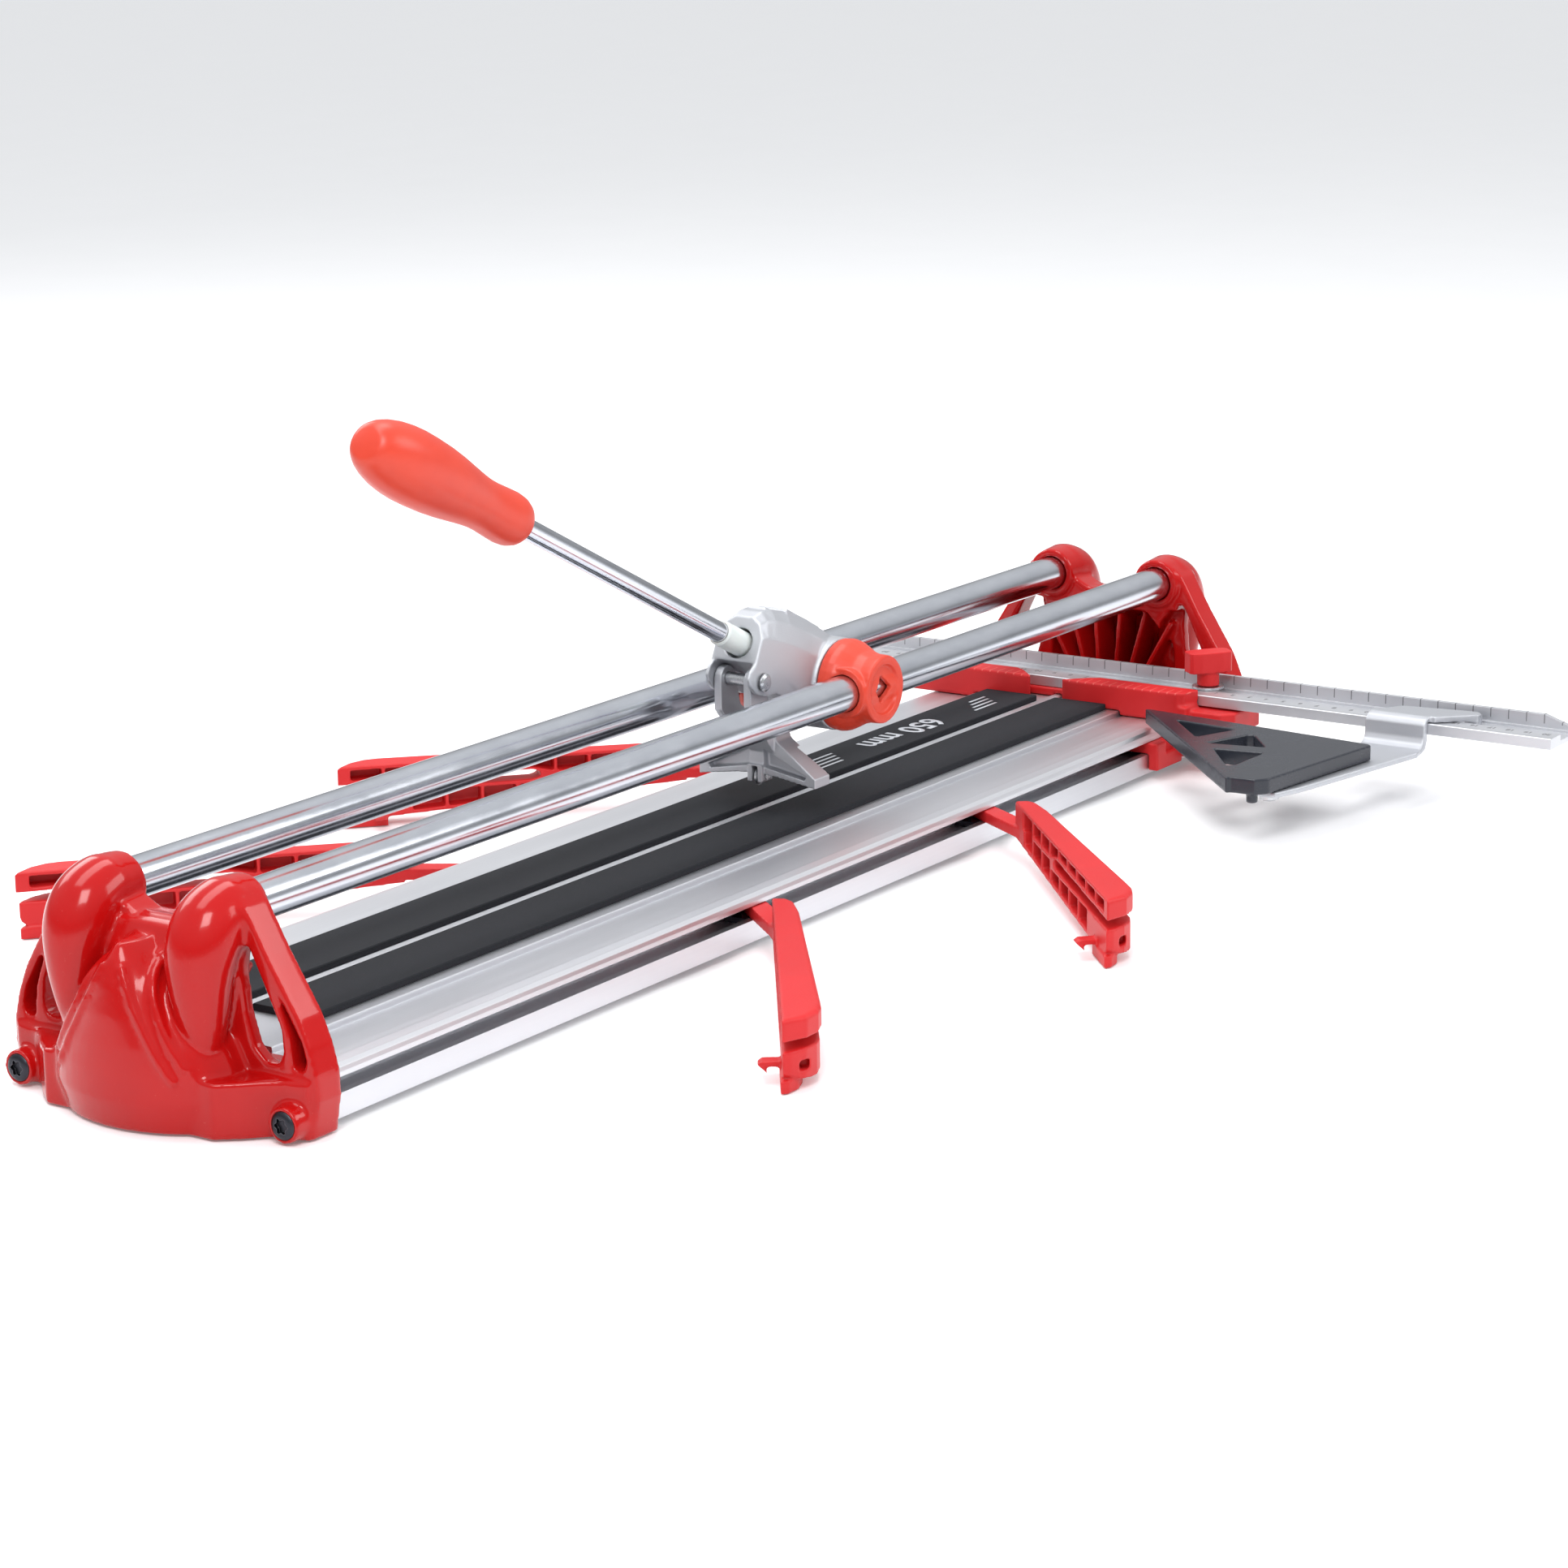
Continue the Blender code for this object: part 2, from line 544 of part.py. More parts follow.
# ---- Protractor body: two blocks with a notch at the rib, a bed for the ruler, a side lobe.
BED_X = (331.0, 372.0)
bed = [(BED_X[0], -96), (BED_X[1], -96), (BED_X[1], 80), (BED_X[0], 80)]
protractor = prism("protractor_body", "Z", bed, DECK_Z + GAP, RULER_Z0 - GAP, PLASTIC_RED)
for side in (-1, 1):
    outline = [(BLOCK_X, 9.3), (BLOCK_X, 80.0), (BLOCK_X + 3, 84.0), (BLOCK_X + 14.7, 86.0)]
    outline += [(BLOCK_X + 14.7, 26.0), (BLOCK_X + 11, 20.0)]
    outline = [(x, side * y) for x, y in outline]
    join(protractor, prism("block", "Z", outline, DECK_Z + GAP, BLOCK_TOP))
    sides = sorted((side * (DECK_HALF + 0.8), side * 86.0))
    join(protractor, box("skirt", (BLOCK_X, BLOCK_X + 14.6), sides, (PLATE_Z + GAP, 36.0)))
    join(protractor, box("wing", (BLOCK_X + 8, BED_X[1] - 4), sides, (PLATE_Z + GAP, 33.0)))
join(protractor, box("web", (326.0, 334.0), (-26.0, 26.0), (DECK_Z + GAP, RULER_Z0 - GAP)))
lobe = [(318.0, -85.0), (318.0, -104.0), (324.0, -110.0), (352.0, -110.0), (360.0, -104.0), (366.0, -85.0)]
join(protractor, prism("lobe", "Z", lobe, 22.0, 33.6))
join(protractor, box("apron", (318.0, 366.0), (-90.0, -BASE_HALF - GAP), (8.0, 30.0)))
cut(
    protractor,
    rod("stud_hole", (*STUD_AT, 20), (*STUD_AT, 50), 3.15, None, 24),
    box("rib_room", (300.0, 336.0), (-RIB_HALF - GAP, RIB_HALF + GAP), (20.0, RIB_TOP + GAP)),
    box("bolt_room", (334.0, 346.2), (-100.0, -80.0), (13.4, 18.6)),
)

# ---- Jaw that grips the side groove under the protractor.
jaw = box("protractor_jaw", (290.0, 317.6), (-BASE_HALF - 6.0, -BASE_HALF - GAP), (6.0, 20.4), PLASTIC_RED)
join(jaw, box("tongue", (290.0, 317.6), (-BASE_HALF - 2.0, -63.0), (GROOVE_LOW + GAP, GROOVE_HIGH - GAP)))
join(jaw, box("rail", (317.0, 350.0), (-71.4, -63.0), (GROOVE_LOW + GAP, GROOVE_HIGH - GAP)))
cut(jaw, box("nick", (300.0, 330.0), (-90.0, -79.0), (14.0, 30.0)))

# ---- Ruler with a front scale, a slot for the clamp and an upstand at the back.
section = [
    (RULER_X[0], RULER_Z0),
    (RULER_X[1], RULER_Z0),
    (RULER_X[1], UPSTAND_TOP),
    (RULER_X[1] - 2.6, UPSTAND_TOP),
    (RULER_X[1] - 2.8, 38.8),
    (RULER_X[1] - 4.2, 38.8),
    (RULER_X[1] - 4.2, 37.4),
    (RULER_X[0] + 12.5, 37.4),
    (RULER_X[0] + 12.5, RULER_TOP - 0.5),
    (RULER_X[0] + 12.0, RULER_TOP),
    (RULER_X[0] + 0.4, RULER_TOP),
    (RULER_X[0], RULER_TOP - 0.4),
]
ruler = prism("ruler", "Y", section, *RULER_Y, ALUMINIUM)
corner = [(RULER_Y[0] - 1, 50.0), (RULER_Y[0] - 1, RULER_TOP), (RULER_Y[0] + 0.5, RULER_TOP), (RULER_Y[0] + 17, 46.0), (RULER_Y[0] + 17, 50.0)]
cut(
    ruler,
    box("slot", (STUD_AT[0] - 3.4, STUD_AT[0] + 3.4), (-276.0, 120.0), (30.0, 39.0)),
    prism("corner", "X", corner, RULER_X[1] - 8, RULER_X[1] + 4),
)
set_origin(ruler, (344.0, STUD_AT[1], RULER_Z0))

# ---- Clamp: stud, washer and wing knob.
rod("clamp_stud", (*STUD_AT, 27.8), (*STUD_AT, 55.0), 3.0, STEEL, 24)
washer = rod("clamp_washer", (*STUD_AT, RULER_TOP + GAP), (*STUD_AT, 42.0), 8.6, STEEL)
cut(washer, rod("hole", (*STUD_AT, 30), (*STUD_AT, 50), 3.2, None, 24))
KNOB_Z = (42.3, 49.6, 60.8)
knob = rod("clamp_knob", (*STUD_AT, KNOB_Z[0]), (*STUD_AT, KNOB_Z[1] + 3), 6.0, PLASTIC_RED)
bar = [(-12.3, -3.6), (-11, -5.6), (-6, -6.4), (6, -6.4), (11, -5.6), (12.3, -3.6)]
bar += [(-x, -y) for x, y in bar]
turn = math.radians(-38.0)
bar = [(STUD_AT[0] + x * math.cos(turn) - y * math.sin(turn), STUD_AT[1] + x * math.sin(turn) + y * math.cos(turn)) for x, y in bar]
join(knob, prism("bar", "Z", bar, KNOB_Z[1], KNOB_Z[2]))
cut(knob, rod("hole", (*STUD_AT, 30), (*STUD_AT, 56), 3.2, None, 24))
set_origin(knob, (*STUD_AT, KNOB_Z[0]))

# ---- Stop slide on the ruler, with the plate that carries the square.
LEG_X = (324.0, RULER_X[0] - GAP)
leg = [(310, 25.6), (321.5, 25.6), (325.8, 27.2), (LEG_X[1], 31.0), (LEG_X[1], RULER_TOP + GAP), (335, RULER_TOP + GAP)]
leg += [(335, 44), (329.5, 44), (326.0, 42.8), (LEG_X[0], 40.0), (LEG_X[0], 33.6), (322.4, 30.2), (319, 28.6), (310, 28.6)]
stop_slide = prism("stop_slide", "Y", leg, -220.0, -186.0, CAST_GREY)
top = [(330.0, -187.0), (346.5, -196.0), (352.5, -231.0), (352.5, -237.0), (350.0, -240.0), (346.0, -240.0), (330.0, -223.0)]
join(stop_slide, prism("top", "Z", top, RULER_TOP + GAP, 44.0))
join(stop_slide, box("hook", (345.8, 352.4), (-239.5, -232.0), (37.7, 43.0)))
shelf = [(319.0, -186.0), (319.0, -220.0), (312.0, -221.6), (216.0, -203.0), (200.0, -198.0)]
shelf += [(199.0, -184.0), (230.0, -184.0), (300.0, -187.0)]
join(stop_slide, prism("shelf", "Z", shelf, 25.6, 28.6))
cut(stop_slide, rod("pivot", (*TRIANGLE_PIN, 20), (*TRIANGLE_PIN, 40), 2.6, None, 24))

outline = [(298.6, -69.6), (299.2, -73.4), (285.8, -207.0), (283.6, -209.0), (194.6, -196.6), (188.6, -192.0), (187.6, -179.0), (185.5, -177.4)]
square = prism("mitre_square", "Z", outline, *TRIANGLE_Z, PLASTIC_BLACK)
windows = [
    [(284.0, -96.5), (280.0, -133.0), (256.0, -123.0)],
    [(246.5, -134.5), (272.5, -144.0), (273.6, -147.5), (253.0, -164.5)],
    [(237.0, -143.5), (241.5, -169.5), (211.5, -168.5), (209.5, -165.0)],
]
cut(
    square,
    *[prism("window", "Z", w, 20, 50) for w in windows],
    rod("pivot", (*TRIANGLE_PIN, 20), (*TRIANGLE_PIN, 34), 2.5, None, 24),
)
join(square, rod("peg", (192.5, -188.5, 24.2), (192.5, -188.5, 30), 2.9, None, 24))
set_origin(square, (*TRIANGLE_PIN, TRIANGLE_Z[0]))
screw = lathe(
    "square_screw",
    (*TRIANGLE_PIN, 0),
    (0, 0, 1),
    [(22.4, 3.4), (23.2, 4.8), (25.3, 4.8), (25.31, 2.4), (33.6, 2.4)],
    STEEL,
    24,
)
set_origin(screw, (*TRIANGLE_PIN, 25.3))


# ---- Side arms: a neck in the groove, an upper bar, a slot and a lower bar with a foot.
def arm(name, hinge_x, side, angle):
    lean = math.radians(angle)
    along = (-math.cos(lean), side * math.sin(lean))
    outward = (math.sin(lean), side * math.cos(lean))
    hinge_y = side * ARM_HINGE_Y

    def at(s, n, z):
        return (hinge_x + along[0] * s + outward[0] * n, hinge_y + along[1] * s + outward[1] * n, z)

    def slab(label, outline, n0, n1):
        """A side view (s, z) given thickness from n0 to n1 across the arm."""
        return loft(label, [[at(s, n, z) for s, z in outline] for n in (n0, n1)])

    def plan(label, outline, z0, z1, bevel=0.0):
        levels = [(z0, 0.0), (z1 - bevel, 0.0), (z1, bevel)] if bevel else [(z0, 0.0), (z1, 0.0)]
        middle = (135.0, ARM_LATERAL + 7.0)
        return loft(label, [[at(s + (s < middle[0]) * inset - (s > middle[0]) * inset, n + (n < middle[1]) * inset * 0 - (n > middle[1]) * inset, z) for s, n in outline] for z, inset in levels])

    n0 = ARM_LATERAL
    upper = [(42, n0), (43, 14.5), (47, 18.0), (63, 20.0), (198, 25.0), (207, 25.2), (214, 23.8), (221.5, 19.0), (228.5, n0)]
    lower = [(46, n0), (47, 14.5), (52, 17.5), (66, 19.5), (200, 24.3), (207, 24.4), (213, 23.0), (220, 18.5), (225.5, 12.0), (227, n0)]
    body = plan(name, upper, 20.0, ARM_TOP, 1.4)
    body.data.materials.append(PLASTIC_RED)
    join(body, plan("lower", lower, 4.6, 21.15))
    slot = [(127, 19.6), (123.5, 20.6), (122.5, 22.0), (124, 24.0), (127, 24.8), (240, 22.6), (240, 18.2), (212, 18.2)]
    under = [(30, 14.3), (199, 5.2), (216, 4.5), (222, 5.6), (226, 8.6), (227.5, 12.0), (240, 12.0), (240, 0.0), (30, 0.0)]
    cut(body, slab("slot", slot, 0.0, 40.0), slab("under", under, 0.0, 40.0))
    foot_plan = [(203, n0 - 0.8), (227.0, n0 - 0.8), (226.0, 11.0), (220.5, 15.0), (212, 17.0), (203, 17.0)]
    join(body, plan("foot", foot_plan, 0.4, 6.0))
    neck = [(ARM_EYE_R * math.cos(math.radians(a)), ARM_EYE_R * math.sin(math.radians(a))) for a in range(110, 301, 10)]
    neck += [(44.0, n0 - 1.5), (56.0, n0 + 1.0), (56.0, n0 + 7.0), (41.0, n0 + 8.4)]
    join(body, plan("neck", neck, GROOVE_LOW + 0.5, GROOVE_HIGH - 0.5))
    cells = []
    for k in range(8):
        s0, s1 = 80.0 + 17.9 * k, 96.2 + 17.9 * k
        lows = [23.6 if at_s < 118 else 27.0 - (at_s - 127) * 0.0216 for at_s in (s0, s1)]
        cells.append(slab("cell", [(s0, lows[0]), (s1, lows[1]), (s1, 30.6), (s0, 30.6)], n0 - 2, 17.2))
    for k in range(6):
        s0, s1 = 80.0 + 18.6 * k, 96.8 + 18.6 * k
        lows = [16.2 - (at_s - 30) * 0.0541 for at_s in (s0, s1)]
        top_z = 17.6 if k > 1 else 21.6
        cells.append(slab("cell", [(s0, lows[0]), (s1, lows[1]), (s1, top_z), (s0, top_z)], n0 - 2, 17.2))
    cells.append(slab("pocket", [(58, 21.4), (58, 30.6), (78, 30.6), (78, 13.8), (61, 14.8), (61, 21.4)], n0 - 2, 15.4))
    cells.append(slab("keyhole", [(214, 8.6), (214, 13.0), (235, 13.0), (235, 8.6)], 15.4, 19.6))
    cut(body, *cells)
    latch = [(n0 + 1, 7.2), (n0 + 1, 9.6), (n0 - 8.2, 9.6), (n0 - 10.0, 8.2), (n0 - 6.0, 4.4), (n0 - 6.4, 7.2)]
    join(body, loft("latch", [[at(s, n, z) for n, z in latch] for s in (204.0, 211.0)]))
    cut(body, rod("eye", at(0, 0, 0), at(0, 0, 40), ARM_PIN_R + 0.15, None, 24))
    set_origin(body, (hinge_x, hinge_y, 17.6))

    walls = sorted((side * (CAVITY_IN + GAP), side * (CAVITY_OUT - GAP)))
    shoe = box(f"shoe_{name[4:]}", (hinge_x - 13, hinge_x + 13), walls, (CAVITY_LOW + 0.2, CAVITY_HIGH - 0.2), PLASTIC_BLACK)
    room = sorted((side * (CAVITY_IN + GAP + 1.7), side * 80))
    cut(
        shoe,
        box("room", (hinge_x - 20, hinge_x + 20), room, (GROOVE_LOW + 0.2, GROOVE_HIGH - 0.2)),
        rod("hole", (hinge_x, hinge_y, 0), (hinge_x, hinge_y, 40), ARM_PIN_R + 0.15, None, 24),
    )
    rod(f"hinge_pin_{name[4:]}", (hinge_x, hinge_y, CAVITY_LOW + 0.4), (hinge_x, hinge_y, CAVITY_HIGH - 0.4), ARM_PIN_R, STEEL, 24)


for label, (hinge_x, side, angle) in ARMS.items():
    arm(f"arm_{label}", hinge_x, side, angle)

# ---- Smooth shading on the round pieces, with their real edges kept.
for made in bpy.data.objects:
    made.data.shade_smooth()
    made.data.set_sharp_from_angle(angle=math.radians(32))
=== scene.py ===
"""Looks of a rail tile cutter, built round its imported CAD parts."""

import json
import math

import bmesh
import bpy
from mathutils import Matrix, Vector

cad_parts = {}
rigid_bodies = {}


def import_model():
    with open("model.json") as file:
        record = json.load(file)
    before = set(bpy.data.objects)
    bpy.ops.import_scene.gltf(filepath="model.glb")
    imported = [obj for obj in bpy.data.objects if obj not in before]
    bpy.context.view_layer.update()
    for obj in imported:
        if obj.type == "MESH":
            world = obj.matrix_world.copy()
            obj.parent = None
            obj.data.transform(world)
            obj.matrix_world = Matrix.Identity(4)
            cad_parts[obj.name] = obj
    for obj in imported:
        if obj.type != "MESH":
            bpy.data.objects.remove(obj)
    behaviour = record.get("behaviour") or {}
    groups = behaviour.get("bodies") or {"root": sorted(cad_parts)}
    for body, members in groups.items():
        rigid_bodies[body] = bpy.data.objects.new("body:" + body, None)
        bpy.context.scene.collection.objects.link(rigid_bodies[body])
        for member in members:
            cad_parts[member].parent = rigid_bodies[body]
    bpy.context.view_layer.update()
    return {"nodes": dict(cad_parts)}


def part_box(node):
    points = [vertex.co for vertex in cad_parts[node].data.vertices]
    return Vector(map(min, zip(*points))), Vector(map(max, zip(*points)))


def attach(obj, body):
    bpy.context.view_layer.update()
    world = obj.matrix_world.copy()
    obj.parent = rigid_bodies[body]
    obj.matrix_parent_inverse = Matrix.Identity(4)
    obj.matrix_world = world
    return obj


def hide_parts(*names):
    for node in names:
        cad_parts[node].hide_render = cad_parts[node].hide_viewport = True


for leftover in list(bpy.data.objects):
    bpy.data.objects.remove(leftover, do_unlink=True)
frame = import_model()
MM = 0.001


# ---- Base extrusion and breaking rib.
# One drawn aluminium profile, satin anodised, with faint die lines along its length.
# The rib is a separate strip pressed into the slot of its deck.
class Wire:
    """A socket that Python sums can be written with."""

    def __init__(self, tree, socket):
        self.tree, self.socket = tree, socket

    def sum(self, operation, *values):
        node = self.tree.nodes.new("ShaderNodeMath")
        node.operation = operation
        for place, value in zip(node.inputs, values):
            if isinstance(value, Wire):
                self.tree.links.new(value.socket, place)
            else:
                place.default_value = value
        return Wire(self.tree, node.outputs[0])

    def __add__(self, other):
        return self.sum("ADD", self, other)

    def __sub__(self, other):
        return self.sum("SUBTRACT", self, other)

    def __rsub__(self, other):
        return self.sum("SUBTRACT", other, self)

    def __mul__(self, other):
        return self.sum("MULTIPLY", self, other)

    def __gt__(self, other):
        return self.sum("GREATER_THAN", self, other)

    def __lt__(self, other):
        return self.sum("LESS_THAN", self, other)

    def __mod__(self, other):
        return self.sum("FLOORED_MODULO", self, other)

    def held(self):
        """The value kept between 0 and 1."""
        return self.sum("MINIMUM", self.sum("MAXIMUM", self, 0.0), 1.0)

    __radd__, __rmul__ = __add__, __mul__


class Finish:
    """One material; its nodes are made by node(), its sockets filled by set()."""

    def __init__(self, name, **uniform):
        self.material = bpy.data.materials.new(name)
        self.material.use_nodes = True
        self.tree = self.material.node_tree
        self.shader = self.tree.nodes["Principled BSDF"]
        for socket, value in uniform.items():
            self.shader.inputs[socket.replace("_", " ")].default_value = value
        self.place = self.node("ShaderNodeTexCoord", out="Object")

    def node(self, kind, settings=None, out=0, **sockets):
        node = self.tree.nodes.new(kind)
        for key, value in (settings or {}).items():
            if key == "stops":
                while len(node.color_ramp.elements) < len(value):
                    node.color_ramp.elements.new(0.5)
                for stop, (at, shade) in zip(node.color_ramp.elements, value):
                    stop.position, stop.color = at, (shade, shade, shade, 1.0)
            else:
                setattr(node, key, value)
        for key, value in sockets.items():
            place = node.inputs[int(key[1:]) if key[1:].isdigit() else key.replace("_", " ")]
            if isinstance(value, Wire):
                self.tree.links.new(value.socket, place)
            else:
                place.default_value = value
        return Wire(self.tree, node.outputs[out])

    def set(self, socket, value):
        self.tree.links.new(value.socket, self.shader.inputs[socket])

    def grain(self, size, stretch=(1.0, 1.0, 1.0), detail=3.0, rough=0.55):
        """Noise with features of that size in mm, longer where stretch is above 1."""
        scaled = self.node("ShaderNodeMapping", Vector=self.place, Scale=[1.0 / s for s in stretch])
        scale = 1.0 / (size * MM)
        return self.node("ShaderNodeTexNoise", Vector=scaled, Scale=scale, Detail=detail, Roughness=rough)

    def axis(self, letter):
        """Object X, Y or Z in millimetres."""
        return self.node("ShaderNodeSeparateXYZ", out=letter, Vector=self.place) * 1000.0

    def colours(self, mask, low, high):
        """From the low colour where the mask is 0 to the high one where it is 1."""
        return self.over(mask, (*low, 1.0), high)

    def over(self, mask, under, paint):
        """A colour painted over another one where the mask is 1."""
        return self.node("ShaderNodeMix", {"data_type": "RGBA"}, out=2, i0=mask, i6=under, i7=(*paint, 1.0))

    def relief(self, height, depth, edge=0.0):
        """Bump of that depth in mm, over edges rounded to that radius in mm."""
        sockets = {"Height": height, "Distance": depth * MM, "Strength": 1.0}
        if edge:
            sockets["Normal"] = self.node("ShaderNodeBevel", {"samples": 4}, Radius=edge * MM)
        self.set("Normal", self.node("ShaderNodeBump", **sockets))

    def worn_edges(self, radius):
        """1 where an edge of the piece is, 0 on its flats."""
        soft = self.node("ShaderNodeBevel", {"samples": 4}, Radius=radius * MM)
        flat = self.node("ShaderNodeNewGeometry", out="Normal")
        alike = self.node("ShaderNodeVectorMath", {"operation": "DOT_PRODUCT"}, out="Value", i0=soft, i1=flat)
        return ((1.0 - alike) * 6.0).held()


def dress(finish, *nodes):
    """Gives CAD nodes a finish in place of their plain one."""
    for name in nodes:
        frame["nodes"][name].data.materials.clear()
        frame["nodes"][name].data.materials.append(finish.material)


drawn = Finish("drawn_aluminium", Metallic=1.0)
lines = drawn.grain(0.9, (900, 1, 1))
haze = drawn.grain(60, (5, 1, 1))
drawn.set("Base Color", drawn.colours(haze, (0.6, 0.607, 0.64), (0.72, 0.725, 0.75)))
drawn.set("Roughness", lines * 0.16 + haze * 0.1 + 0.3)
drawn.relief(lines, 0.02, 0.35)
dress(drawn, "base_extrusion", "breaker_rib")


# ---- Rubber pads.
# Black closed-cell rubber strips glued to the deck, dusty on top. The far one carries
# plain stripes and the cutting length, screen-printed in pale grey.
def shaped(name, shape, node, body, finish, smooth=35.0):
    """Turns a bmesh in millimetres into a finished piece."""
    bmesh.ops.scale(shape, vec=(MM, MM, MM), verts=shape.verts)
    mesh = bpy.data.meshes.new(name)
    shape.to_mesh(mesh)
    shape.free()
    piece = bpy.data.objects.new(name, mesh)
    bpy.context.scene.collection.objects.link(piece)
    return settle(piece, node, body, finish, smooth)


def settle(piece, node, body, finish, smooth=35.0):
    piece.data.materials.clear()
    piece.data.materials.append(finish.material)
    piece.data.shade_smooth()
    if smooth:
        piece.data.set_sharp_from_angle(angle=math.radians(smooth))
    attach(piece, body)
    if node:
        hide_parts(*([node] if isinstance(node, str) else node))
    return piece


rubber = Finish("pad_rubber", Specular_IOR_Level=0.25)
pores = rubber.grain(0.45, detail=2)
dust = rubber.node(
    "ShaderNodeValToRGB", {"stops": [(0.66, 0.0), (0.74, 1.0)]}, Fac=rubber.grain(1.4, detail=4, rough=0.7)
)
bloom = rubber.grain(45, (3, 1, 1))
clean = rubber.colours(bloom, (0.011, 0.012, 0.015), (0.021, 0.022, 0.027))
rubber.set("Base Color", rubber.over(dust * 0.25, clean, (0.16, 0.15, 0.14)))
rubber.set("Roughness", bloom * 0.2 + 0.7)
rubber.relief(pores, 0.12, 0.5)
dress(rubber, "pad_near", "pad_far")

print_grey = Finish("printed_grey", Roughness=0.5)
print_grey.set("Base Color", print_grey.colours(print_grey.grain(0.5), (0.5, 0.52, 0.56), (0.66, 0.68, 0.72)))
pad_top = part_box("pad_far")[1].z / MM


def words(text, size, spot, turn=0.0, thick=0.06, bold=0.0):
    """Raised lettering on a horizontal face, as a bmesh in millimetres."""
    curve = bpy.data.curves.new("words", "FONT")
    curve.body, curve.size, curve.extrude, curve.offset = text, size, thick / 2, bold
    curve.align_x, curve.align_y, curve.resolution_u = "CENTER", "CENTER", 3
    holder = bpy.data.objects.new("words", curve)
    bpy.context.scene.collection.objects.link(holder)
    bpy.context.view_layer.update()
    mesh = bpy.data.meshes.new_from_object(holder)
    bpy.data.objects.remove(holder)
    shape = bmesh.new()
    shape.from_mesh(mesh)
    bmesh.ops.remove_doubles(shape, verts=shape.verts, dist=0.0005)
    place = Matrix.Translation(spot) @ Matrix.Rotation(math.radians(turn), 4, "Z")
    bmesh.ops.transform(shape, matrix=place, verts=shape.verts)
    return shape


def slab(*corners):
    """A bmesh box from its lowest and highest corner."""
    low, high = Vector(corners[0]), Vector(corners[1])
    shape = bmesh.new()
    size = high - low
    made = bmesh.ops.create_cube(shape, size=1.0)
    bmesh.ops.scale(shape, vec=size, verts=made["verts"])
    bmesh.ops.translate(shape, vec=(low + high) / 2, verts=made["verts"])
    return shape


def gathered(*shapes):
    """Several bmeshes as one."""
    whole = bmesh.new()
    for shape in shapes:
        mesh = bpy.data.meshes.new("part")
        shape.to_mesh(mesh)
        shape.free()
        whole.from_mesh(mesh)
        bpy.data.meshes.remove(mesh)
    return whole


mark = words("650 mm", 21.0, (200.0, 21.5, pad_top + 0.04), 180, bold=0.4)
shaped("pad_length_mark", mark, None, "base", print_grey, 0)
stripes = []
for k in range(4):
    y = 14.5 + 4.2 * k
    stripes.append(slab((264.0 + 5 * k, y, pad_top + 0.01), (286.0 + 3 * k, y + 1.5, pad_top + 0.06)))
    stripes.append(slab((96.0 + 2 * k, y, pad_top + 0.01), (134.0 + 3 * k, y + 1.5, pad_top + 0.06)))
shaped("pad_stripes", gathered(*stripes), None, "base", print_grey, 0)


# ---- End stands.
# Aluminium castings with thick gloss red paint: soft edges everywhere, machined bores for
# the rails, a bulged shield edged with ridges, and fan ribs inside the hollow.
def copied(node):
    """A merged copy of a CAD node's mesh, in millimetres."""
    shape = bmesh.new()
    shape.from_mesh(frame["nodes"][node].data)
    bmesh.ops.remove_doubles(shape, verts=shape.verts, dist=1e-6)
    bmesh.ops.scale(shape, vec=(1 / MM, 1 / MM, 1 / MM), verts=shape.verts)
    bmesh.ops.dissolve_limit(shape, angle_limit=math.radians(0.5), verts=shape.verts, edges=shape.edges)
    return shape


def tube(points, radii, sides=16):
    """A round bar through points, closed at both ends."""
    shape = bmesh.new()
    rings = []
    for k, (point, radius) in enumerate(zip(points, radii)):
        ahead = Vector(points[min(k + 1, len(points) - 1)]) - Vector(points[max(k - 1, 0)])
        turn = ahead.to_track_quat("Z", "Y").to_matrix().to_4x4()
        place = Matrix.Translation(point) @ turn
        capped = k in (0, len(points) - 1)
        made = bmesh.ops.create_circle(shape, cap_ends=capped, segments=sides, radius=radius, matrix=place)
        rings.append(made["verts"])
    for one, two in zip(rings, rings[1:]):
        both = {e for ring in (one, two) for v in ring for e in v.link_edges if e.other_vert(v) in ring}
        bmesh.ops.bridge_loops(shape, edges=list(both))
    bmesh.ops.recalc_face_normals(shape, faces=shape.faces)
    return shape


def as_object(shape, name="shape"):
    mesh = bpy.data.meshes.new(name)
    shape.to_mesh(mesh)
    shape.free()
    made = bpy.data.objects.new(name, mesh)
    bpy.context.scene.collection.objects.link(made)
    return made


def baked(piece):
    """The object's modifiers worked into its mesh."""
    bpy.context.view_layer.update()
    mesh = bpy.data.meshes.new_from_object(piece.evaluated_get(bpy.context.evaluated_depsgraph_get()))
    piece.modifiers.clear()
    piece.data = mesh
    return piece


def cast(shape, voxel, rounds, name="casting"):
    """Melts overlapping shapes into one skin with soft edges."""
    piece = as_object(shape, name)
    melt = piece.modifiers.new("melt", "REMESH")
    melt.mode, melt.voxel_size = "VOXEL", voxel
    soft = piece.modifiers.new("soft", "SMOOTH")
    soft.factor, soft.iterations = 0.5, rounds
    baked(piece)
    shape = bmesh.new()
    shape.from_mesh(piece.data)
    bpy.data.objects.remove(piece)
    return shape


